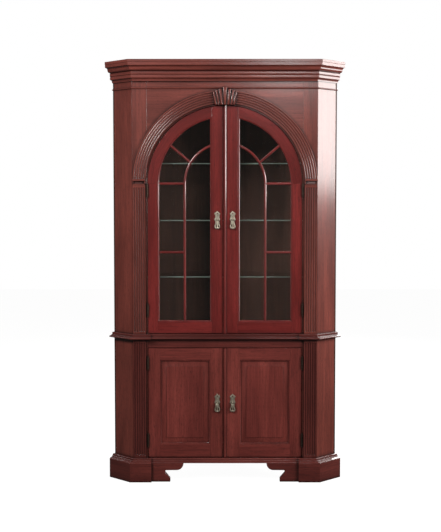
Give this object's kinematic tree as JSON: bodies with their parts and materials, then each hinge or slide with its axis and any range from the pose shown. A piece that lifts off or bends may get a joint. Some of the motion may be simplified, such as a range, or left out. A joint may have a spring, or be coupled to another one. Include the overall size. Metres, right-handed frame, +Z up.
{
  "type": "corner china cabinet",
  "caption": "Corner china cabinet with arched glazed doors over raised-panel cupboard doors, fluted pilasters, keystone arch, stepped cornice and bracket feet.",
  "frame": {"origin": "on the floor, in the middle of the cabinet's bounding box", "axes": "+X along the front towards the right door seen from the front, +Y back into the room corner, +Z up"},
  "size_m": [1.223, 0.739, 2.138],
  "materials": {
    "case_wood": "deep red-brown mahogany stain under semi-gloss lacquer",
    "door_wood": "redder mahogany under semi-gloss lacquer",
    "dark_wood": "darker mahogany under semi-gloss lacquer",
    "inside_wood": "dark brown stained interior, satin",
    "glass": "clear polished sheet",
    "brass": "antique brass, dulled and patinated"
  },
  "bodies": {
    "case": {"side_left": "case_wood", "side_right": "case_wood", "stile_left": "case_wood", "stile_right": "case_wood", "back_left": "inside_wood", "back_right": "inside_wood", "rear_post": "inside_wood", "case_top": "dark_wood", "case_floor": "dark_wood", "deck": "dark_wood", "cupboard_shelf": "dark_wood", "glass_shelf_1": "glass", "glass_shelf_2": "glass", "glass_shelf_3": "glass", "arch_spandrel": "case_wood", "lower_rail": "case_wood", "pilaster_upper_left": "case_wood", "pilaster_upper_right": "case_wood", "pilaster_lower_left": "dark_wood", "pilaster_lower_right": "dark_wood", "archivolt": "case_wood", "keystone": "case_wood", "cornice": "case_wood", "necking_bead": "case_wood", "waist_moulding": "case_wood", "plinth": "dark_wood", "hinge_frame_leaf_upper_door_bottom_left": "brass", "hinge_frame_leaf_upper_door_bottom_right": "brass", "hinge_frame_leaf_upper_door_top_left": "brass", "hinge_frame_leaf_upper_door_top_right": "brass", "hinge_frame_leaf_lower_door_bottom_left": "brass", "hinge_frame_leaf_lower_door_bottom_right": "brass", "hinge_frame_leaf_lower_door_top_left": "brass", "hinge_frame_leaf_lower_door_top_right": "brass"},
    "upper_left_door": {"upper_door_frame_left": "door_wood", "glazing_bars_left": "door_wood", "door_glass_left": "glass", "hinge_door_leaf_upper_door_bottom_left": "brass", "hinge_door_leaf_upper_door_top_left": "brass", "pull_plate_upper_left": "brass"},
    "lower_left_door": {"lower_door_frame_left": "door_wood", "raised_panel_left": "door_wood", "hinge_door_leaf_lower_door_bottom_left": "brass", "hinge_door_leaf_lower_door_top_left": "brass", "pull_plate_lower_left": "brass"},
    "upper_left_pull_drop": {"pull_drop_upper_left": "brass"},
    "lower_left_pull_drop": {"pull_drop_lower_left": "brass"},
    "upper_right_door": {"upper_door_frame_right": "door_wood", "glazing_bars_right": "door_wood", "door_glass_right": "glass", "hinge_door_leaf_upper_door_bottom_right": "brass", "hinge_door_leaf_upper_door_top_right": "brass", "pull_plate_upper_right": "brass"},
    "lower_right_door": {"lower_door_frame_right": "door_wood", "raised_panel_right": "door_wood", "hinge_door_leaf_lower_door_bottom_right": "brass", "hinge_door_leaf_lower_door_top_right": "brass", "pull_plate_lower_right": "brass"},
    "upper_right_pull_drop": {"pull_drop_upper_right": "brass"},
    "lower_right_pull_drop": {"pull_drop_lower_right": "brass"}
  },
  "joints": [
    {"name": "upper_left_door_hinge", "type": "hinge", "parent": "case", "child": "upper_left_door", "pos_m": [-0.393, -0.314, 1.18], "axis": [0, 0, -1], "range_deg": [0, 110]},
    {"name": "lower_left_door_hinge", "type": "hinge", "parent": "case", "child": "lower_left_door", "pos_m": [-0.393, -0.314, 0.4], "axis": [0, 0, -1], "range_deg": [0, 110]},
    {"name": "upper_right_door_hinge", "type": "hinge", "parent": "case", "child": "upper_right_door", "pos_m": [0.393, -0.314, 1.18], "axis": [0, 0, 1], "range_deg": [0, 110]},
    {"name": "lower_right_door_hinge", "type": "hinge", "parent": "case", "child": "lower_right_door", "pos_m": [0.393, -0.314, 0.4], "axis": [0, 0, 1], "range_deg": [0, 110]},
    {"name": "upper_left_drop_swing", "type": "hinge", "parent": "upper_left_door", "child": "upper_left_pull_drop", "pos_m": [-0.039, -0.3185, 1.338], "axis": [-1, 0, 0], "range_deg": [-5, 75]},
    {"name": "lower_left_drop_swing", "type": "hinge", "parent": "lower_left_door", "child": "lower_left_pull_drop", "pos_m": [-0.039, -0.3185, 0.404], "axis": [-1, 0, 0], "range_deg": [-5, 75]},
    {"name": "upper_right_drop_swing", "type": "hinge", "parent": "upper_right_door", "child": "upper_right_pull_drop", "pos_m": [0.039, -0.3185, 1.338], "axis": [-1, 0, 0], "range_deg": [-5, 75]},
    {"name": "lower_right_drop_swing", "type": "hinge", "parent": "lower_right_door", "child": "lower_right_pull_drop", "pos_m": [0.039, -0.3185, 0.404], "axis": [-1, 0, 0], "range_deg": [-5, 75]}
  ]
}
